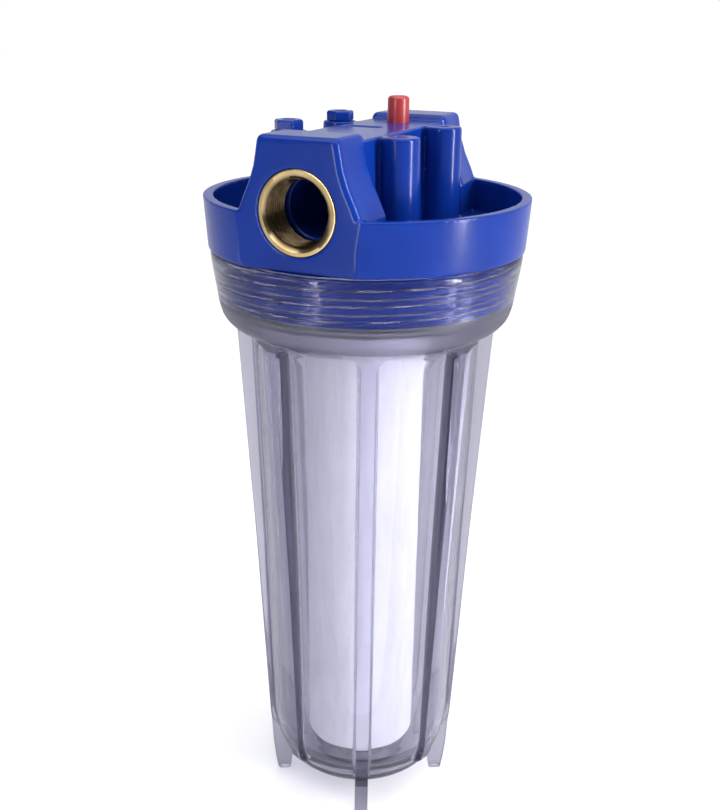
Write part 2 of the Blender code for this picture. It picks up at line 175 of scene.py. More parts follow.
def dense(path, spacing):
    """The path with extra points, so that no step is longer than spacing."""
    out = [tuple(path[0])]
    for a, b in zip(path, path[1:]):
        a, b = Vector(a), Vector(b)
        pieces = max(1, int(math.ceil((b - a).length / spacing)))
        for k in range(1, pieces + 1):
            out.append(tuple(a.lerp(b, k / pieces)))
    return out


def turned(name, path, steps=128, sharp_deg=None, closed=False, radius_of=None):
    """Turn a (radius, height) path; radius_of(radii, heights, angle) may shape it."""
    radii = np.array([p[0] for p in path], float)
    heights = np.array([p[1] for p in path], float)
    columns = []
    for i in range(steps):
        angle = TAU * i / steps
        r = radii if radius_of is None else radius_of(radii, heights, angle)
        columns.append(np.stack([r * math.cos(angle), r * math.sin(angle), heights], axis=1))
    return grid_object(name, columns, sharp_deg, close_path=closed)


def smooth_step(low, high, value):
    """0 below low, 1 above high, and a soft S between them."""
    t = np.clip((value - low) / (high - low), 0.0, 1.0)
    return t * t * (3.0 - 2.0 * t)


def ridge(heights, angle, pitch, z0, phase=0.0):
    """Height share of a rounded right-hand thread ridge at each height."""
    f = np.mod((heights - z0) / pitch - angle / TAU - phase, 1.0)
    return smooth_step(0.0, 0.15, f) * (1.0 - smooth_step(0.45, 0.60, f))


def fade(heights, low, high, length):
    """1 inside low to high, running out smoothly at both ends."""
    return smooth_step(low, low + length, heights) * (1 - smooth_step(high - length, high, heights))


def extruded(name, outline, low, high, matrix=Matrix.Identity(4), flare=None):
    """Extrude an (x, y) outline from low to high; flare(share) scales it on the way."""
    layers = 2 if flare is None else 9
    verts, count = [], len(outline)
    for layer in range(layers):
        share = layer / (layers - 1)
        scale = 1.0 if flare is None else flare(share)
        z = low + (high - low) * share
        verts += [matrix @ Vector((x * scale, y, z)) for x, y in outline]
    faces = [tuple(range(count)), tuple(range((layers - 1) * count, layers * count))]
    for layer in range(layers - 1):
        a, b = layer * count, (layer + 1) * count
        for i in range(count):
            j = (i + 1) % count
            faces.append((a + i, a + j, b + j, b + i))
    return mesh_object(name, [tuple(v) for v in verts], faces)


def block(name, x0, x1, y0, y1, z0, z1):
    """A plain box."""
    return extruded(name, [(x0, y0), (x1, y0), (x1, y1), (x0, y1)], z0, z1)


def upright(name, path, x=0.0, y=0.0, steps=48):
    """A closed solid turned about a vertical axis at x, y."""
    ob = turned(name, path, steps)
    ob.data.transform(Matrix.Translation(Vector((x, y, 0.0)) * MM))
    return ob


def laid_along_y(ob, sign, z):
    """Lay a piece turned about Z along Y instead, pointing to sign * Y, at height z."""
    turn = Matrix.Rotation(math.radians(-90.0 * sign), 4, "X")
    ob.data.transform(Matrix.Translation((0.0, 0.0, z * MM)) @ turn)
    return ob


def drop(ob):
    """Remove the object and its mesh."""
    mesh = ob.data
    bpy.data.objects.remove(ob)
    bpy.data.meshes.remove(mesh)


def bake(ob):
    """Replace the object's mesh by what its modifiers make of it."""
    depsgraph = bpy.context.evaluated_depsgraph_get()
    made = bpy.data.meshes.new_from_object(ob.evaluated_get(depsgraph))
    old = ob.data
    ob.modifiers.clear()
    ob.data = made
    made.name = ob.name
    bpy.data.meshes.remove(old)


def combine(target, operation, tools):
    """Join or cut closed solids, then remove them."""
    for tool in tools:
        mod = target.modifiers.new("solid", "BOOLEAN")
        mod.operation = operation
        mod.solver = "MANIFOLD"
        mod.object = tool
        bake(target)
        drop(tool)


def bevel(ob, width, segments, angle_deg=30.0):
    """Round the edges sharper than the angle."""
    mod = ob.modifiers.new("edge", "BEVEL")
    mod.width = width * MM
    mod.segments = segments
    mod.limit_method = "ANGLE"
    mod.angle_limit = math.radians(angle_deg)
    bake(ob)


def soften(ob, voxel, passes, most_faces):
    """Round every edge of a solid the way a mould does, and keep the mesh light."""
    mod = ob.modifiers.new("remesh", "REMESH")
    mod.mode = "VOXEL"
    mod.voxel_size = voxel * MM
    mod.use_smooth_shade = True
    smooth = ob.modifiers.new("smooth", "SMOOTH")
    smooth.factor = 0.5
    smooth.iterations = passes
    bake(ob)
    triangles = 2 * len(ob.data.polygons)
    if triangles > most_faces:
        mod = ob.modifiers.new("thin", "DECIMATE")
        mod.ratio = most_faces / triangles
        bake(ob)
    ob.data.shade_smooth()


def finish_piece(ob, mat, body, slot, *nodes):
    """Give the piece its one material and its body, and hide the nodes it replaces; slot is not
    used.
    """
    ob.data.materials.clear()
    ob.data.materials.append(mat)
    for face in ob.data.polygons:
        face.material_index = 0
    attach(ob, body)
    if nodes:
        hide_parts(*nodes)
    return ob


# ================================================================ materials
class Surface:
    """A Principled material with short calls for its procedural detail."""

    def __init__(self, name, **values):
        self.mat = bpy.data.materials.new(name)
        self.mat.use_nodes = True
        self.tree = self.mat.node_tree
        self.bsdf = self.tree.nodes["Principled BSDF"]
        self.output = self.tree.nodes["Material Output"]
        for key, value in values.items():
            self.bsdf.inputs[key.replace("_", " ")].default_value = value
        self.coord = self.tree.nodes.new("ShaderNodeTexCoord")
        self.bumps = None

    def node(self, kind, **values):
        made = self.tree.nodes.new("ShaderNode" + kind)
        for key, value in values.items():
            made.inputs[key.replace("_", " ")].default_value = value
        return made

    def link(self, a, b):
        self.tree.links.new(a, b)

    def noise(self, scale, detail=3.0, roughness=0.5, stretch=(1, 1, 1), distortion=0.0):
        made = self.node("TexNoise", Scale=scale, Detail=detail, Roughness=roughness,
                         Distortion=distortion)
        mapping = self.node("Mapping", Scale=stretch)
        self.link(self.coord.outputs["Object"], mapping.inputs["Vector"])
        self.link(mapping.outputs["Vector"], made.inputs["Vector"])
        return made.outputs["Fac"]

    def ramp(self, factor, stops):
        made = self.tree.nodes.new("ShaderNodeValToRGB")
        elements = made.color_ramp.elements
        while len(elements) < len(stops):
            elements.new(0.5)
        for element, (place, colour) in zip(elements, stops):
            element.position = place
            element.color = (*colour, 1.0) if len(colour) == 3 else colour
        self.link(factor, made.inputs["Fac"])
        return made.outputs["Color"]

    def colour(self, factor, stops):
        self.link(self.ramp(factor, stops), self.bsdf.inputs["Base Color"])

    def roughness(self, factor, low, high):
        span_node = self.node("MapRange")
        span_node.inputs["To Min"].default_value = low
        span_node.inputs["To Max"].default_value = high
        self.link(factor, span_node.inputs["Value"])
        self.link(span_node.outputs["Result"], self.bsdf.inputs["Roughness"])

    def bump(self, height, distance, strength=1.0):
        made = self.node("Bump", Strength=strength, Distance=distance * MM)
        self.link(height, made.inputs["Height"])
        if self.bumps is not None:
            self.link(self.bumps, made.inputs["Normal"])
        self.bumps = made.outputs["Normal"]
        self.link(self.bumps, self.bsdf.inputs["Normal"])


def blue_plastic():
    s = Surface("blue_moulded_plastic", IOR=1.49, Specular_IOR_Level=0.18, Coat_Weight=0.06,
                Coat_Roughness=0.08)
    s.colour(s.noise(38.0, 3.0), [(0.25, (0.0022, 0.021, 0.19)), (0.75, (0.0036, 0.030, 0.25))])
    s.roughness(s.noise(150.0, 4.0, 0.6), 0.17, 0.27)
    s.bump(s.noise(2600.0, 2.0), 0.012, 0.5)
    s.bump(s.noise(60.0, 2.0), 0.10, 0.35)
    return s.mat


def frosted_shoulder(s):
    """0 on the polished wall, 1 on the matt shoulder below the collar."""
    axes = s.tree.nodes.new("ShaderNodeSeparateXYZ")
    s.link(s.coord.outputs["Object"], axes.inputs["Vector"])
    below = s.node("MapRange")
    below.inputs["From Min"].default_value = 238.0 * MM
    below.inputs["From Max"].default_value = 243.0 * MM
    above = s.node("MapRange")
    above.inputs["From Min"].default_value = 255.0 * MM
    above.inputs["From Max"].default_value = 252.0 * MM
    for side in (below, above):
        s.link(axes.outputs["Z"], side.inputs["Value"])
    band = s.tree.nodes.new("ShaderNodeMath")
    band.operation = "MULTIPLY"
    s.link(below.outputs["Result"], band.inputs[0])
    s.link(above.outputs["Result"], band.inputs[1])
    return band.outputs["Value"]


def clear_plastic():
    s = Surface("clear_sump_plastic", Transmission_Weight=1.0, IOR=1.46)
    s.bsdf.inputs["Specular Tint"].default_value = (0.50, 0.50, 0.55, 1.0)
    s.colour(s.noise(30.0, 2.0), [(0.3, (0.78, 0.78, 0.81)), (0.7, (0.82, 0.82, 0.85))])
    s.roughness(frosted_shoulder(s), 0.05, 0.34)
    s.bump(s.noise(26.0, 2.0, stretch=(1, 1, 0.25)), 0.05, 0.20)
    absorb = s.node("VolumeAbsorption", Density=62.0)
    absorb.inputs["Color"].default_value = (0.25, 0.22, 0.42, 1.0)
    s.link(absorb.outputs["Volume"], s.output.inputs["Volume"])
    see_through = s.node("BsdfTransparent", Color=(0.90, 0.90, 0.93, 1.0))
    path = s.tree.nodes.new("ShaderNodeLightPath")
    soft = s.node("MixShader", Fac=0.15)
    s.link(s.bsdf.outputs["BSDF"], soft.inputs[1])
    s.link(see_through.outputs["BSDF"], soft.inputs[2])
    mix = s.tree.nodes.new("ShaderNodeMixShader")
    s.link(path.outputs["Is Shadow Ray"], mix.inputs["Fac"])
    s.link(soft.outputs["Shader"], mix.inputs[1])
    s.link(see_through.outputs["BSDF"], mix.inputs[2])
    s.link(mix.outputs["Shader"], s.output.inputs["Surface"])
    return s.mat


def spun_fibre():
    s = Surface("melt_blown_fibre", Subsurface_Weight=0.12, Sheen_Weight=0.25,
                Sheen_Roughness=0.6)
    s.bsdf.inputs["Subsurface Radius"].default_value = (1.0, 1.0, 1.0)
    s.bsdf.inputs["Subsurface Scale"].default_value = 0.002
    strands = s.noise(240.0, 5.0, 0.65, stretch=(1, 1, 0.22), distortion=0.6)
    s.colour(strands, [(0.2, (0.64, 0.65, 0.67)), (0.6, (0.77, 0.78, 0.80))])
    s.roughness(s.noise(90.0), 0.75, 0.95)
    s.bump(strands, 0.35, 0.6)
    s.bump(s.noise(55.0, 3.0), 0.4, 0.3)
    return s.mat


def core_plastic():
    s = Surface("natural_plastic", IOR=1.49)
    s.colour(s.noise(60.0), [(0.3, (0.80, 0.81, 0.80)), (0.7, (0.88, 0.88, 0.87))])
    s.roughness(s.noise(160.0), 0.38, 0.55)
    s.bump(s.noise(420.0, 2.0), 0.03, 0.4)
    return s.mat


def machined_brass():
    """Bright at the mouth; deeper in the port the colour turns dark brown, painted shade of the
    bore.
    """
    s = Surface("machined_brass", Metallic=1.0)
    bright = s.ramp(s.noise(130.0, 4.0, 0.6), [(0.2, (0.40, 0.28, 0.12)), (0.5, (0.56, 0.42, 0.21)),
                                              (0.8, (0.72, 0.58, 0.34))])
    # Painted shade: this dark brown stands in for the shade inside the port's bore.
    bore_shade_colour = s.ramp(s.noise(210.0, 4.0, 0.6), [(0.3, (0.045, 0.032, 0.018)),
                                             (0.7, (0.12, 0.085, 0.045))])
    axes = s.tree.nodes.new("ShaderNodeSeparateXYZ")
    s.link(s.coord.outputs["Object"], axes.inputs["Vector"])
    depth = s.tree.nodes.new("ShaderNodeMath")
    depth.operation = "ABSOLUTE"
    s.link(axes.outputs["Y"], depth.inputs[0])
    inward = s.node("MapRange")
    inward.inputs["From Min"].default_value = (BLOCK_FACE_Y - 1.3) * MM
    inward.inputs["From Max"].default_value = (BLOCK_FACE_Y - 0.3) * MM
    s.link(depth.outputs["Value"], inward.inputs["Value"])
    # Painted shade inside the bore: from 1.3 mm behind the face the dark colour replaces the brass
    # colour.
    bore_shade_mix = s.tree.nodes.new("ShaderNodeMix")
    bore_shade_mix.data_type = "RGBA"
    s.link(inward.outputs["Result"], bore_shade_mix.inputs["Factor"])
    s.link(bore_shade_colour, bore_shade_mix.inputs["A"])
    s.link(bright, bore_shade_mix.inputs["B"])
    s.link(bore_shade_mix.outputs["Result"], s.bsdf.inputs["Base Color"])
    s.roughness(s.noise(300.0, 3.0, 0.6, stretch=(1, 6, 1)), 0.12, 0.30)
    s.bump(s.noise(900.0, 2.0, 0.5, stretch=(0.2, 5, 0.2)), 0.02, 0.5)
    return s.mat


def red_plastic():
    s = Surface("red_moulded_plastic", IOR=1.49, Coat_Weight=0.15, Coat_Roughness=0.15)
    s.colour(s.noise(120.0), [(0.3, (0.33, 0.022, 0.026)), (0.7, (0.40, 0.032, 0.034))])
    s.roughness(s.noise(300.0), 0.28, 0.42)
    s.bump(s.noise(1500.0, 2.0), 0.015, 0.5)
    return s.mat


def black_rubber():
    s = Surface("black_rubber", IOR=1.5, Sheen_Weight=0.1)
    s.colour(s.noise(200.0), [(0.3, (0.016, 0.016, 0.018)), (0.7, (0.032, 0.032, 0.034))])
    s.roughness(s.noise(260.0, 4.0), 0.45, 0.75)
    s.bump(s.noise(1800.0, 3.0), 0.02, 0.6)
    return s.mat


def bright_steel():
    s = Surface("bright_steel", Metallic=1.0)
    s.colour(s.noise(220.0), [(0.3, (0.52, 0.52, 0.54)), (0.7, (0.68, 0.68, 0.70))])
    s.roughness(s.noise(400.0, 3.0), 0.18, 0.34)
    s.bump(s.noise(1600.0, 2.0), 0.008, 0.5)
    return s.mat


def floor_paint():
    """White to the camera, and darker in reflections and through the clear bowl."""
    s = Surface("pale_floor")
    white = s.ramp(s.noise(3.0, 2.0), [(0.3, (0.86, 0.86, 0.865)), (0.7, (0.88, 0.88, 0.885))])
    path = s.tree.nodes.new("ShaderNodeLightPath")
    tone = s.tree.nodes.new("ShaderNodeMix")
    tone.data_type = "RGBA"
    tone.inputs["A"].default_value = (0.58, 0.58, 0.61, 1.0)
    s.link(white, tone.inputs["B"])
    s.link(path.outputs["Is Camera Ray"], tone.inputs["Factor"])
    s.link(tone.outputs["Result"], s.bsdf.inputs["Base Color"])
    s.roughness(s.noise(8.0), 0.55, 0.7)
    return s.mat


BLUE, CLEAR, FIBRE = blue_plastic(), clear_plastic(), spun_fibre()
CORE, BRASS, RED = core_plastic(), machined_brass(), red_plastic()
RUBBER, STEEL = black_rubber(), bright_steel()


# ================================================================ head
def head_body():
    """Cup, floor, threaded skirt and nipple, turned in one closed path."""
    lower = [(0, NIPPLE_Z), (NIPPLE_R, NIPPLE_Z), (NIPPLE_R, CEILING_Z), (SKIRT_BORE_R, CEILING_Z),
             (SKIRT_BORE_R, MALE_END_Z), (MALE_ROOT_R, MALE_END_Z)]
    thread = dense([(MALE_ROOT_R, MALE_END_Z), (MALE_ROOT_R, SKIRT_Z)], 0.25)
    upper = [(MALE_ROOT_R, SKIRT_Z), (SKIRT_R, SKIRT_Z), (RIM_R, RIM_Z),
             (RIM_R - RIM_WALL, RIM_Z), (RIM_R - RIM_WALL - 0.4, CUP_FLOOR_Z), (0, CUP_FLOOR_Z)]
    path = dense(lower, 6.0) + thread[1:-1] + dense(upper, 6.0)

    def with_thread(radii, heights, angle):
        on_thread = (np.abs(radii - MALE_ROOT_R) < 0.01) & (heights < MALE_TOP_Z)
        lift = ridge(heights, angle, PITCH, THREAD_Z0)
        lift = lift * fade(heights, THREAD_Z0, MALE_TOP_Z, THREAD_RUN_OUT)
        return radii + np.where(on_thread, (MALE_CREST_R - MALE_ROOT_R) * lift, 0.0)

    return turned("head_shell", path, 240, radius_of=with_thread)


def port_blocks():
    """Tapered end blocks, whose sides sweep outwards into the cup's wall."""
    side = [(26.2, SKIRT_Z + 0.2), (26.1, 286.0), (26.0, 292.8), (23.8, 298.1), (20.6, 304.8),
            (18.6, 310.5), (17.5, 316.0), (16.9, 319.6), (16.2, 321.1), (14.8, BLOCK_TOP_Z)]
    outline = side + [(-x, z) for x, z in reversed(side)]
    stand = Matrix.Rotation(math.radians(90.0), 4, "X")
    front = extruded("block_front", outline, BLOCK_BACK_Y, BLOCK_FACE_Y + 0.1, stand,
                     flare=lambda s: 1.035 - 0.035 * float(smooth_step(0.0, 0.8, s)))
    rear = extruded("block_rear", outline, -BLOCK_FACE_Y - 0.1, -BLOCK_BACK_Y, stand,
                    flare=lambda s: 1.0 + 0.035 * float(smooth_step(0.2, 1.0, s)))
    bridge = [(18.2, 278.0), (16.4, BOSS_TOP_Z), (-16.4, BOSS_TOP_Z), (-18.2, 278.0)]
    for ob in (front, rear):
        bevel(ob, 3.2, 5, 50.0)
    middle = extruded("bridge", bridge, -BLOCK_BACK_Y - 4.0, BLOCK_BACK_Y + 4.0, stand)
    return [front, rear, middle]


def head_bosses():
    """Four round bosses, flared where they meet the cup's floor."""
    path = [(0, 278.1), (BOSS_R + 1.4, 278.1), (BOSS_R + 0.45, 281.5), (BOSS_R, BOSS_TOP_Z - 0.5),
            (BOSS_R - 0.5, BOSS_TOP_Z), (0, BOSS_TOP_Z)]
    return [upright("boss_%d_%d" % (sx, sy), path, sx * BOSS_X, sy * BOSS_Y, 64)
            for sx in (-1, 1) for sy in (-1, 1)]


def head_cutters():
    """Port faces and bores, passages, the vent's well, the top recess and the boss holes."""
    far = RIM_R + 5.0
    depth = BLOCK_FACE_Y - INSERT_LENGTH - 0.4
    cutters = []
    for sy, end in ((-1, -8.0), (1, 15.0)):
        y0, y1 = sorted((sy * BLOCK_FACE_Y, sy * far))
        cutters.append(block("flat_cut", -40, 40, y0, y1, 240.0, 335.0))
        bore = turned("bore_cut", [(0, end), (PASSAGE_R, end), (PASSAGE_R, depth),
                                   (INSERT_R + 0.15, depth), (INSERT_R + 0.15, far), (0, far)], 96)
        cutters.append(laid_along_y(bore, sy, PORT_Z))
    cutters.append(upright("nipple_cut", [(0, 260.0), (NIPPLE_BORE_R, 260.0),
                                          (NIPPLE_BORE_R, 292.0), (0, 292.0)]))
    cutters.append(block("drop_cut", -8.0, 8.0, 29.0, 44.0, 270.0, 292.0))
    cutters.append(upright("vent_cut", [(0, 299.0), (4.6, 299.0), (4.6, 307.5), (2.3, 307.5),
                                        (2.3, 310.5), (5.4, 310.5), (5.4, 325.0), (0, 325.0)],
                           0.0, VENT_Y))
    cutters.append(block("recess_cut", -13.0, 3.0, 2.0, 8.0, 318.3, 325.0))
    for sy in (-1, 1):
        cutters.append(upright("gauge_cut", [(0, 270.0), (2.4, 270.0), (2.4, 309.0), (4.3, 309.0),
                                             (4.3, 317.6), (5.8, 317.6), (5.8, 325.0), (0, 325.0)],
                               -BOSS_X, sy * BOSS_Y))
        cutters.append(upright("screw_cut", [(0, 302.0), (1.8, 302.0), (1.8, 325.0), (0, 325.0)],
                               BOSS_X, sy * BOSS_Y, 32))
    return cutters


def make_head():
    head = head_body()
    combine(head, "UNION", port_blocks() + head_bosses())
    combine(head, "DIFFERENCE", head_cutters())
    soften(head, voxel=0.55, passes=4, most_faces=190000)
    return finish_piece(head, BLUE, "head", "blue_plastic", "head")


# ================================================================ brass inserts
def make_insert(name, sign, node):
    """Flanged brass bush with a 14 threads per inch bore, its mouth just inside the face."""
    major, minor, pitch = 13.22, 12.06, 25.4 / 14.0
    length = INSERT_LENGTH
    low, high = 1.0, length - 0.7
    path = [(major + 0.5, 0.0), (INSERT_R - 0.7, 0.0), (INSERT_R - 0.7, length - 3.0),
            (INSERT_R, length - 3.0), (INSERT_R, length), (major + 1.2, length)]
    path = rounded(path, 0.35, 4)
    bore = dense([(major, length - 1.2), (major, 0.5)], 0.12)
    path += bore

    def with_thread(radii, heights, angle):
        f = np.mod((heights - low) / pitch - angle / TAU, 1.0)
        tooth = np.clip(1.15 - 2.3 * np.abs(f - 0.5), 0.0, 1.0)
        lift = tooth * fade(heights, low, high, 1.0)
        return radii - np.where(np.abs(radii - major) < 0.01, (major - minor) * lift, 0.0)

    ob = turned(name, path, 144, sharp_deg=38.0, closed=True, radius_of=with_thread)
    ob.data.transform(Matrix.Translation((0, 0, (BLOCK_FACE_Y - length - 0.1) * MM)))
    laid_along_y(ob, sign, PORT_Z)
    return finish_piece(ob, BRASS, "head", "brass", node)


# ================================================================ sump bowl
OUTER = [(0, 15.5), (20.0, 15.6), (28.0, 16.4), (34.0, 18.6), (38.4, 22.8), (40.9, 29.0),
         (43.2, 43.0), (45.4, 134.0), (48.8, 233.0), (50.8, 237.6), (54.6, 240.0), (58.4, 241.6),
         (61.2, 244.8), (62.6, 249.4), (65.4, 268.6), (65.4, 271.0), (64.8, COLLAR_TOP_Z),
         (FEMALE_BASE_R, COLLAR_TOP_Z)]
INNER = [(FEMALE_BASE_R, FEMALE_END_Z), (57.5, 249.8), (57.5, 248.0), (53.3, 248.0), (53.3, 249.8),
         (52.3, 249.8), (50.4, 243.4), (45.4, 235.0), (41.9, 134.0), (39.7, 43.0),
         (38.5, 32.0), (35.6, 25.2), (31.0, 21.6), (25.0, 20.4), (21.8, 20.4), (21.8, 27.6),
         (19.2, 27.6), (19.2, 20.4), (12.2, 20.4), (12.2, 34.6), (11.4, 36.0), (10.0, 36.0),
         (10.0, 20.4), (0, 20.4)]
RIB_EDGE = [(24.0, 39.0), (28.0, 43.2), (34.0, 45.1), (43.0, 45.6), (80.0, 47.4), (136.0, 50.0),
            (222.0, 54.8), (236.0, 55.6), (245.0, 56.4)]
ARCH_R = 6.0
ARCH_TOP_Z = 239.0
PANEL_PARTS = 12


def bowl_columns():
    """(rib, distance from its middle, share across the panel) of every column."""
    flank = [2.6 + 0.25 * k for k in range(7)]
    near = [0.0, 1.4, 2.3] + flank + [4.4, 5.2]
    columns = []
    for k in range(RIB_COUNT):
        for d in near:
            columns.append((k, d, None))
        columns += [(k, near[-1], t / PANEL_PARTS) for t in range(1, PANEL_PARTS)]
        for d in reversed(near[1:]):
            columns.append((k + 1, -d, None))
    return columns


def bowl_skin():
    """The bowl's wall and ribs as one skin: each column runs down outside and up inside."""
    columns = bowl_columns()
    outer = dense(rounded(OUTER, 2.2, 5), 4.0)
    thread = dense([(FEMALE_BASE_R, COLLAR_TOP_Z), (FEMALE_BASE_R, FEMALE_END_Z)], 0.34)
    inner = dense(rounded(INNER, 0.9, 3), 6.0)
    stations = [(r, z, "outer") for r, z in outer[:-1]]
    stations += [(r, z, "thread") for r, z in thread]
    stations += [(r, z, "inner") for r, z in inner[1:]]
    edge_z = [z for z, _ in RIB_EDGE]
    edge_r = [r for _, r in RIB_EDGE]
    grid = np.zeros((len(columns), len(stations), 3))
    for s, (r, z, part) in enumerate(stations):
        reference = max(r, 36.0)
        arch = z - (ARCH_TOP_Z - ARCH_R)
        widen = ARCH_R - math.sqrt(max(0.0, ARCH_R ** 2 - min(max(arch, 0.0), ARCH_R) ** 2))
        for c, (k, d, share) in enumerate(columns):
            side = RIB_HALF + widen if part == "outer" else RIB_HALF
            spread = d * side / RIB_HALF if abs(d) <= 3.3 else d + math.copysign(side - RIB_HALF, d)
            offset = math.asin(min(0.9, max(-0.9, spread / reference)))
            angle = RIB_ANGLE + RIB_STEP * k + offset
            if share is not None:
                angle += (RIB_STEP - 2.0 * offset) * share
            radius = r
            if part == "outer" and RIB_FOOT_Z < z < RIB_TOP_Z and share is None:
                proud = float(np.interp(z, edge_z, edge_r)) - r
                # Fade in instead of a kink where the rib starts to stand proud of the wall.
                proud = 0.5 * (proud + math.sqrt(proud * proud + 0.5)) - 0.05
                top = 1.0 - float(smooth_step(RIB_TOP_Z - 5.0, RIB_TOP_Z, z))
                bottom = float(smooth_step(RIB_FOOT_Z, RIB_FOOT_Z + 6.0, z))
                radius += max(0.0, proud) * top * bottom * (
                    1.0 - float(smooth_step(RIB_HALF - 0.7, RIB_HALF + 1.3, abs(d))))
            if part == "thread":
                lift = ridge(np.array([z]), angle, PITCH, THREAD_Z0, 0.5)
                run = fade(np.array([z]), FEMALE_END_Z + 2.2, FEMALE_TOP_Z, THREAD_RUN_OUT)
                lift = float((lift * run)[0])
                radius -= 0.6 * (FEMALE_BASE_R - FEMALE_CREST_R) * lift
            grid[c, s] = (radius * math.cos(angle), radius * math.sin(angle), z)
    return grid_object("sump_bowl_clear", grid)


def radial_plate(name, outline, width, angle):
    """A flat plate drawn as (radius, height), standing on the axis at the angle."""
    stand = Matrix.Rotation(math.radians(90.0), 4, "X")
    turn = Matrix.Rotation(angle, 4, "Z")
    ob = extruded(name, outline, -width / 2.0, width / 2.0, turn @ stand)
    bevel(ob, 0.5, 3, 50.0)
    return ob


def make_bowl():
    """The skin, with a foot under every second rib and two fins inside, left and right."""
    bowl = bowl_skin()
    foot = [(44.9, 36.0), (44.1, 18.0), (43.1, 8.0), (41.8, 0.0), (35.8, 0.0), (34.6, 8.0),
            (33.4, 18.2), (36.0, 22.4), (39.4, 29.0), (41.0, 36.0)]
    fin = [(27.5, 18.6), (31.6, 19.4), (36.6, 22.6), (39.8, 28.8), (41.0, 36.0),
           (41.6, 63.0), (35.5, 57.0), (30.0, 41.0), (27.5, 30.0)]
    plates = []
    for k in range(0, RIB_COUNT, 2):
        angle = RIB_ANGLE + RIB_STEP * k
        plates.append(radial_plate("foot", rounded_loop(foot, 1.2), FOOT_W, angle))
        if k in (2, 6):
            plates.append(radial_plate("fin", rounded_loop(fin, 2.0), FIN_W, angle))
    combine(bowl, "UNION", plates)
    bowl.data.shade_smooth()
    bowl.data.set_sharp_from_angle(angle=math.radians(32.0))
    return finish_piece(bowl, CLEAR, "bowl", "clear_plastic", "sump_bowl")


# ================================================================ cartridge
def make_media():
    """Melt-blown sleeve with a slightly uneven outside."""
    z0, z1 = MEDIA_LOW.z, MEDIA_HIGH.z
    skin = MEDIA_R - 0.25
    path = rounded([(MEDIA_BORE_R, z1), (MEDIA_BORE_R, z0), (skin, z0), (skin, z1),
                    (MEDIA_BORE_R, z1)], 0.9, 4)
    path = dense(path, 1.6)

    def fuzzed(radii, heights, angle):
        out = radii.copy()
        for k, (r, z) in enumerate(zip(radii, heights)):
            if r > MEDIA_R - 1.3 and z0 < z < z1:
                p = Vector((6.0 * math.cos(angle), 6.0 * math.sin(angle), z * 0.16))
                q = Vector((26.0 * math.cos(angle), 26.0 * math.sin(angle), z * 0.55))
                out[k] = r + 0.13 * noise.noise(p) + 0.07 * noise.noise(q)
        return out

    ob = turned("sediment_cartridge", path[:-1], 150, closed=True, radius_of=fuzzed)
    return finish_piece(ob, FIBRE, "cartridge", "white_media", "filter_media")


def make_core():
    """Core tube with staggered rows of slots between solid bands."""
    low, high = span("filter_core")
    rows, slots, plain = 26, 8, 6.0
    steps = slots * 6
    heights = [low.z, low.z + plain]
    band = (high.z - low.z - 2.0 * plain) / rows
    for row in range(rows):
        heights += [low.z + plain + band * (row + 0.3), low.z + plain + band * (row + 1)]
    heights.append(high.z)
    verts, faces = [], []
    for r in (CORE_BORE_R, CORE_R):
        for z in heights:
            verts += [(r * math.cos(TAU * i / steps), r * math.sin(TAU * i / steps), z)
                      for i in range(steps)]
    shell = len(heights) * steps

    def at(skin, row, i):
        return skin * shell + row * steps + i % steps

    def is_open(row, i):
        if row < 2 or row >= len(heights) - 2 or row % 2 == 1:
            return False
        return (i + 3 * (row // 2 % 2)) % 6 < 4

    for row in range(len(heights) - 1):
        for i in range(steps):
            if not is_open(row, i):
                faces.append((at(1, row, i), at(1, row, i + 1), at(1, row + 1, i + 1),
                              at(1, row + 1, i)))
                faces.append((at(0, row, i), at(0, row + 1, i), at(0, row + 1, i + 1),
                              at(0, row, i + 1)))
                continue
            corners = [(row, i, row, i + 1, is_open(row - 1, i)),
                       (row, i + 1, row + 1, i + 1, is_open(row, i + 1)),
                       (row + 1, i + 1, row + 1, i, is_open(row + 1, i)),
                       (row + 1, i, row, i, is_open(row, i - 1))]
            for ra, ca, rb, cb, joined in corners:
                if not joined:
                    faces.append((at(1, ra, ca), at(1, rb, cb), at(0, rb, cb), at(0, ra, ca)))
    for i in range(steps):
        last = len(heights) - 1
        faces.append((at(1, 0, i), at(0, 0, i), at(0, 0, i + 1), at(1, 0, i + 1)))
        faces.append((at(1, last, i), at(1, last, i + 1), at(0, last, i + 1), at(0, last, i)))
    ob = mesh_object("core_tube", verts, faces, 30.0)
    return finish_piece(ob, CORE, "cartridge", "core_plastic", "filter_core")


def make_gasket(name, node):
    """Flat ring with a raised sealing lip on each face."""
    low, high = span(node)
    bore, radius = GASKET_BORE_R, high.x
    z0, z1, lip = low.z, high.z, 0.35
    ring = [(radius, z0 + lip), (radius, z1 - lip), (21.5, z1 - lip), (20.5, z1), (18.5, z1),
            (17.5, z1 - lip), (bore, z1 - lip), (bore, z0 + lip), (17.5, z0 + lip), (18.5, z0),
            (20.5, z0), (21.5, z0 + lip)]
    path = rounded(ring + [ring[0], ring[1]], 0.3, 3)[1:-1]
    ob = turned(name, path, 96, sharp_deg=50.0, closed=True)
    return finish_piece(ob, RUBBER, "cartridge", "black_rubber", node)


def make_o_ring(name, node, body, steps, sides):
    """A round-section ring that fills the box of its CAD node."""
    low, high = span(node)
    centre = (low + high) / 2.0
    section = high.z - low.z
    ring_r = (high.x - low.x) / 2.0 - section / 2.0
    path = [(ring_r + section / 2.0 * math.cos(TAU * k / sides),
             centre.z + section / 2.0 * math.sin(TAU * k / sides)) for k in range(sides)]
    ob = turned(name, path, steps, closed=True)
    ob.data.transform(Matrix.Translation(Vector((centre.x, centre.y, 0.0)) * MM))
    return finish_piece(ob, RUBBER, body, "black_rubber", node)


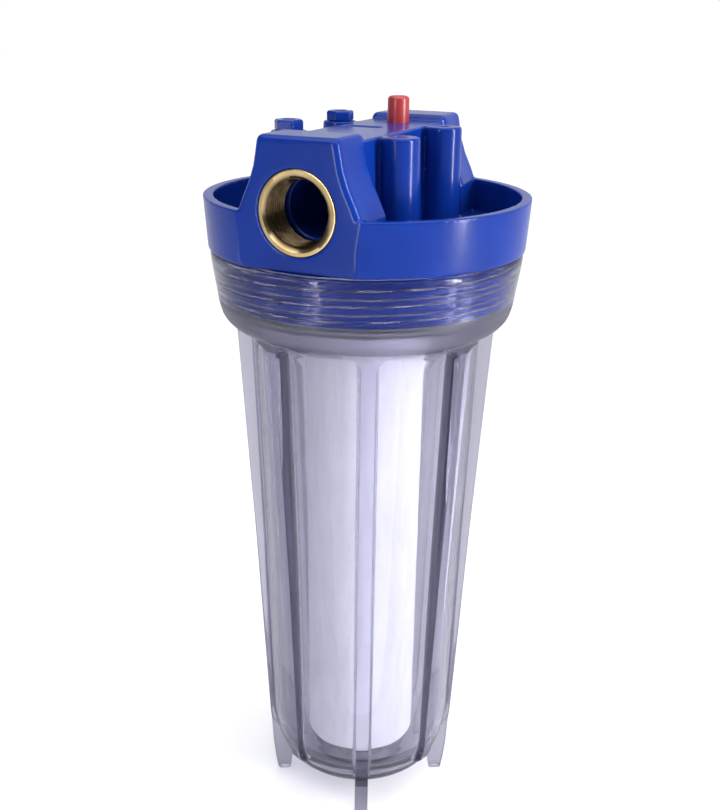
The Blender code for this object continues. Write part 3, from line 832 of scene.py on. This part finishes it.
# ================================================================ vent valve
def make_button():
    """Red cap on a stem, with a groove for the retaining clip."""
    top = BUTTON_HIGH.z
    cap_z0, cap_r, stem_r = 316.5, 4.7, 1.9
    low = BUTTON_LOW.z
    path = [(0, low), (1.5, low), (stem_r, low + 0.5), (stem_r, 303.5), (1.3, 303.5),
            (1.3, 305.1), (stem_r, 305.1), (stem_r, cap_z0), (cap_r, cap_z0),
            (cap_r - 0.1, top - 0.9), (cap_r - 1.0, top), (2.6, top), (2.2, top - 0.5),
            (0, top - 0.5)]
    ob = turned("vent_push_button", rounded(path, 0.4, 5), 96, sharp_deg=40.0)
    ob.data.transform(Matrix.Translation((0.0, VENT_Y * MM, 0.0)))
    return finish_piece(ob, RED, "vent", "red_plastic", "vent_button")


def make_spring():
    """Round wire coil with closed ends."""
    low, high = span("vent_spring")
    wire, mean_r, turns, per_turn, sides = 0.7, 3.6, 4.5, 40, 12
    count = int(turns * per_turn)
    z0, z1 = low.z + wire / 2.0, high.z - wire / 2.0
    rings = []
    for k in range(count + 1):
        t = k / count
        angle = TAU * turns * t
        rise = float(smooth_step(0.0, 1.0, t)) * 0.4 + t * 0.6
        centre = Vector((mean_r * math.cos(angle), mean_r * math.sin(angle), z0 + (z1 - z0) * rise))
        out = Vector((math.cos(angle), math.sin(angle), 0.0))
        size = wire / 2.0 * min(1.0, 0.55 + 12.0 * min(t, 1.0 - t))
        rings.append([tuple(centre + size * (math.cos(a) * out + math.sin(a) * Vector((0, 0, 1))))
                      for a in (TAU * s / sides for s in range(sides))])
    verts = [v for ring_points in rings for v in ring_points]
    faces = [tuple(range(sides)), tuple(range(count * sides, (count + 1) * sides))]
    for k in range(count):
        for s in range(sides):
            t = (s + 1) % sides
            faces.append((k * sides + s, k * sides + t, (k + 1) * sides + t, (k + 1) * sides + s))
    ob = mesh_object("vent_return_spring", verts, faces, 50.0)
    ob.data.transform(Matrix.Translation((0.0, VENT_Y * MM, 0.0)))
    finish_piece(ob, STEEL, "vent", "steel", "vent_spring")
    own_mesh(ob)
    return ob


def make_clip():
    """Open ring that snaps into the stem's groove."""
    low, high = span("vent_clip")
    inner, outer, steps = 1.62, 4.0, 60
    start, sweep = math.radians(120.0), math.radians(300.0)
    arc = [start + sweep * k / steps for k in range(steps + 1)]
    outline = [(outer * math.cos(a), outer * math.sin(a)) for a in arc]
    outline += [(inner * math.cos(a), inner * math.sin(a)) for a in reversed(arc)]
    ob = extruded("vent_retaining_clip", outline, low.z, high.z)
    bevel(ob, 0.08, 2)
    ob.data.shade_smooth()
    ob.data.set_sharp_from_angle(angle=math.radians(40.0))
    ob.data.transform(Matrix.Translation((0.0, VENT_Y * MM, 0.0)))
    return finish_piece(ob, STEEL, "vent", "steel", "vent_clip")


# ================================================================ gauge plugs
def make_plug(name, node, turn_deg):
    """Hex head with a chamfered crown and a shallow dimple, on a plain shank."""
    low, high = span(node)
    y = (low.y + high.y) / 2.0
    flat, shank = HEX_FLAT, GAUGE_SHANK_R
    z0, z1 = HEX_Z0, high.z

    def hexed(radii, heights, angle):
        local = math.fmod(angle - math.radians(turn_deg) + 8.0 * math.pi, math.pi / 3.0)
        limit = flat / math.cos(local - math.pi / 6.0)
        limit = min(limit, flat * 1.125)
        crown = limit - np.clip(heights - (z1 - 0.7), 0.0, 1.0) * 0.8
        on_head = heights > z0 - 0.01
        return np.where(on_head, np.minimum(radii, crown), radii)

    big = flat * 1.2
    path = [(0, low.z), (shank - 0.5, low.z), (shank, low.z + 0.6), (shank, z0 - 0.1),
            (shank, z0), (big, z0), (big, z1 - 0.7), (big, z1 - 0.35), (big, z1), (3.0, z1),
            (2.4, z1 - 0.45), (0, z1 - 0.45)]
    ob = turned(name, dense(path, 0.7), 180, sharp_deg=32.0, radius_of=hexed)
    ob.data.transform(Matrix.Translation(Vector((-BOSS_X, y, 0.0)) * MM))
    bevel(ob, 0.12, 2, 50.0)
    ob.data.shade_smooth()
    ob.data.set_sharp_from_angle(angle=math.radians(45.0))
    return finish_piece(ob, BLUE, "head", "blue_plastic", node)


make_head()
make_insert("outlet_brass_insert", -1, "outlet_insert")
make_insert("inlet_brass_insert", 1, "inlet_insert")
make_bowl()
make_o_ring("sump_seal", "sump_o_ring", "cartridge", 160, 24)
make_media()
make_core()
make_gasket("top_gasket", "filter_top_gasket")
make_gasket("bottom_gasket", "filter_bottom_gasket")
make_button()
make_spring()
make_clip()
make_o_ring("vent_stem_seal", "vent_o_ring", "vent", 64, 16)
make_plug("front_hex_plug", "gauge_plug_front", 12.0)
make_plug("rear_hex_plug", "gauge_plug_rear", 38.0)
make_o_ring("front_plug_seal", "gauge_seal_front", "head", 64, 14)
make_o_ring("rear_plug_seal", "gauge_seal_rear", "head", 64, 14)


# ================================================================ camera, light and floor
def aim(ob, target):
    """Turn a lamp to the target."""
    ob.rotation_euler = (Vector(target) - ob.location).to_track_quat("-Z", "Y").to_euler()


def make_camera():
    """The photo's view: its place, then pitch, roll and yaw of the lens."""
    azimuth, distance, height = math.radians(24.54), 0.4362, 0.3630
    pitch, roll, yaw = math.radians(22.5), math.radians(0.73), math.radians(-0.24)
    forward = Vector((math.sin(yaw) * math.cos(pitch), math.cos(yaw) * math.cos(pitch),
                      -math.sin(pitch)))
    right = forward.cross(Vector((0, 0, 1))).normalized()
    up = right.cross(forward)
    rolled = right * math.cos(roll) + up * math.sin(roll)
    up = rolled.cross(forward)
    basis = Matrix((rolled, up, -forward)).transposed().to_4x4()
    turn = Matrix.Rotation(azimuth, 4, "Z")
    data = bpy.data.cameras.new("camera")
    data.sensor_width = 36.0
    data.lens = 46.15
    data.shift_y = 36.0 / 810.0
    data.clip_start = 0.01
    camera = bpy.data.objects.new("camera", data)
    camera.matrix_world = turn @ Matrix.Translation((0.0, -distance, height)) @ basis
    bpy.context.scene.collection.objects.link(camera)
    bpy.context.scene.camera = camera


def softbox(name, azimuth_deg, distance, height, width, tall, power):
    """A soft light; azimuth is measured from -Y towards +X, as the camera's is."""
    data = bpy.data.lights.new(name, "AREA")
    data.shape = "RECTANGLE"
    data.size, data.size_y = width, tall
    data.energy = power
    ob = bpy.data.objects.new(name, data)
    a = math.radians(azimuth_deg)
    ob.location = (distance * math.sin(a), -distance * math.cos(a), height)
    bpy.context.scene.collection.objects.link(ob)
    aim(ob, (0.0, 0.0, 0.2))


def sun(name, azimuth_deg, elevation_deg, strength, angle_deg):
    """A wide, soft sun, placed by the same azimuth as softbox."""
    data = bpy.data.lights.new(name, "SUN")
    data.energy = strength
    data.angle = math.radians(angle_deg)
    ob = bpy.data.objects.new(name, data)
    a, e = math.radians(azimuth_deg), math.radians(elevation_deg)
    away = Vector((math.sin(a) * math.cos(e), -math.cos(a) * math.cos(e), math.sin(e)))
    ob.location = 2.0 * away
    bpy.context.scene.collection.objects.link(ob)
    aim(ob, (0.0, 0.0, 0.0))


def make_world():
    """A soft room, brighter towards +Y, and a white wall where the camera sees it."""
    world = bpy.data.worlds.new("studio")
    world.use_nodes = True
    nodes, links = world.node_tree.nodes, world.node_tree.links
    room = nodes["Background"]
    room.inputs["Color"].default_value = (0.94, 0.95, 1.0, 1.0)
    direction = nodes.new("ShaderNodeTexCoord")
    axes = nodes.new("ShaderNodeSeparateXYZ")
    links.new(direction.outputs["Generated"], axes.inputs["Vector"])
    depth = nodes.new("ShaderNodeMapRange")
    depth.inputs["From Min"].default_value = -0.3
    depth.inputs["From Max"].default_value = 0.7
    depth.inputs["To Min"].default_value = 0.14
    depth.inputs["To Max"].default_value = 0.75
    links.new(axes.outputs["Y"], depth.inputs["Value"])
    links.new(depth.outputs["Result"], room.inputs["Strength"])
    wall = nodes.new("ShaderNodeBackground")
    wall.inputs["Color"].default_value = (1.0, 1.0, 1.0, 1.0)
    wall.inputs["Strength"].default_value = 1.0
    path = nodes.new("ShaderNodeLightPath")
    mix = nodes.new("ShaderNodeMixShader")
    links.new(path.outputs["Is Camera Ray"], mix.inputs["Fac"])
    links.new(room.outputs["Background"], mix.inputs[1])
    links.new(wall.outputs["Background"], mix.inputs[2])
    links.new(mix.outputs["Shader"], nodes["World Output"].inputs["Surface"])
    bpy.context.scene.world = world


def make_studio():
    make_world()
    bpy.context.scene.view_settings.view_transform = "Standard"
    sun("ceiling_light", 40.0, 80.0, 2.9, 80.0)
    softbox("key_light", 90.0, 1.1, 0.40, 0.14, 1.1, 20.0)
    softbox("fill_light", -12.0, 1.2, 0.35, 0.12, 0.9, 7.0)
    radius, below, corners = 9000, -0.2, 64
    outline = [(radius * math.cos(TAU * k / corners), radius * math.sin(TAU * k / corners), below)
               for k in range(corners)]
    floor = mesh_object("studio_floor", outline, [tuple(range(corners))])
    floor.data.materials.append(floor_paint())


make_camera()
make_studio()
